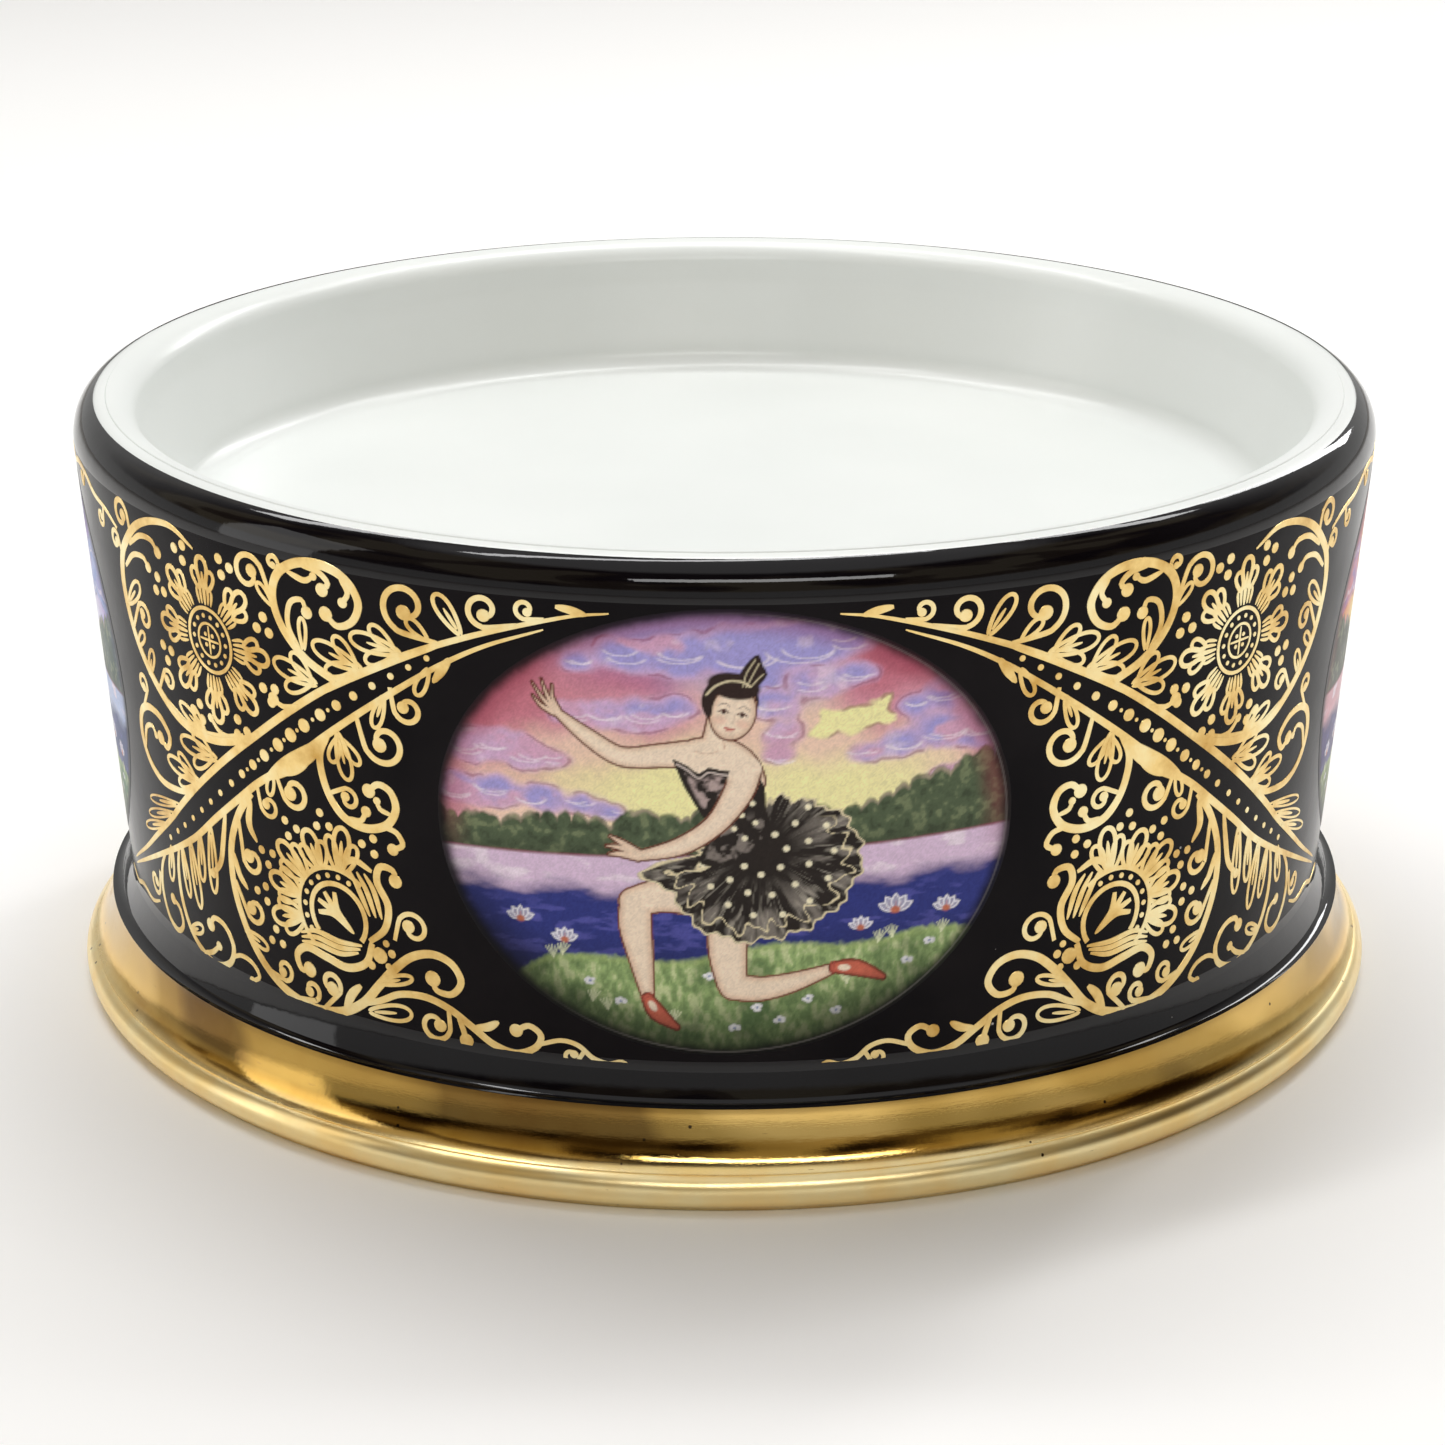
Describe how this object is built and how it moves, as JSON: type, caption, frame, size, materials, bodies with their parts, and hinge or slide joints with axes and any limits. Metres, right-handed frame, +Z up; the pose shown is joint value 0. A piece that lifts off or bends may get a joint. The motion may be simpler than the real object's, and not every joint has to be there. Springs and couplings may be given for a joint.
{
  "type": "painted porcelain bowl",
  "caption": "Round straight-sided porcelain bowl with a shallow white inside, black glazed wall with gold filigree and painted oval medallions, on a gilt base ring.",
  "frame": {"origin": "centre of the flat foot's resting plane", "axes": "+Z up along the axis of the bowl, -Y towards the front medallion, +X to its right"},
  "size_m": [0.1438, 0.1438, 0.0656],
  "materials": {
    "white_glaze": "cool white glossy glaze",
    "black_glaze": "deep black glossy glaze",
    "painted_enamel": "miniature painting under a soft gloss",
    "gold_print": "fired pale gold print",
    "gilt_metal": "mirror gold plate with fine scratches and pits",
    "dark_board": "matt black paper-faced board"
  },
  "bodies": {
    "root": {"porcelain_body": "white_glaze", "black_glaze_coat": "black_glaze", "gilt_base": "gilt_metal", "bottom_cover": "dark_board", "medallion_front": "painted_enamel", "medallion_right": "painted_enamel", "medallion_back": "painted_enamel", "medallion_left": "painted_enamel", "gold_filigree_front_right": "gold_print", "gold_filigree_back_right": "gold_print", "gold_filigree_back_left": "gold_print", "gold_filigree_front_left": "gold_print"}
  },
  "joints": []
}
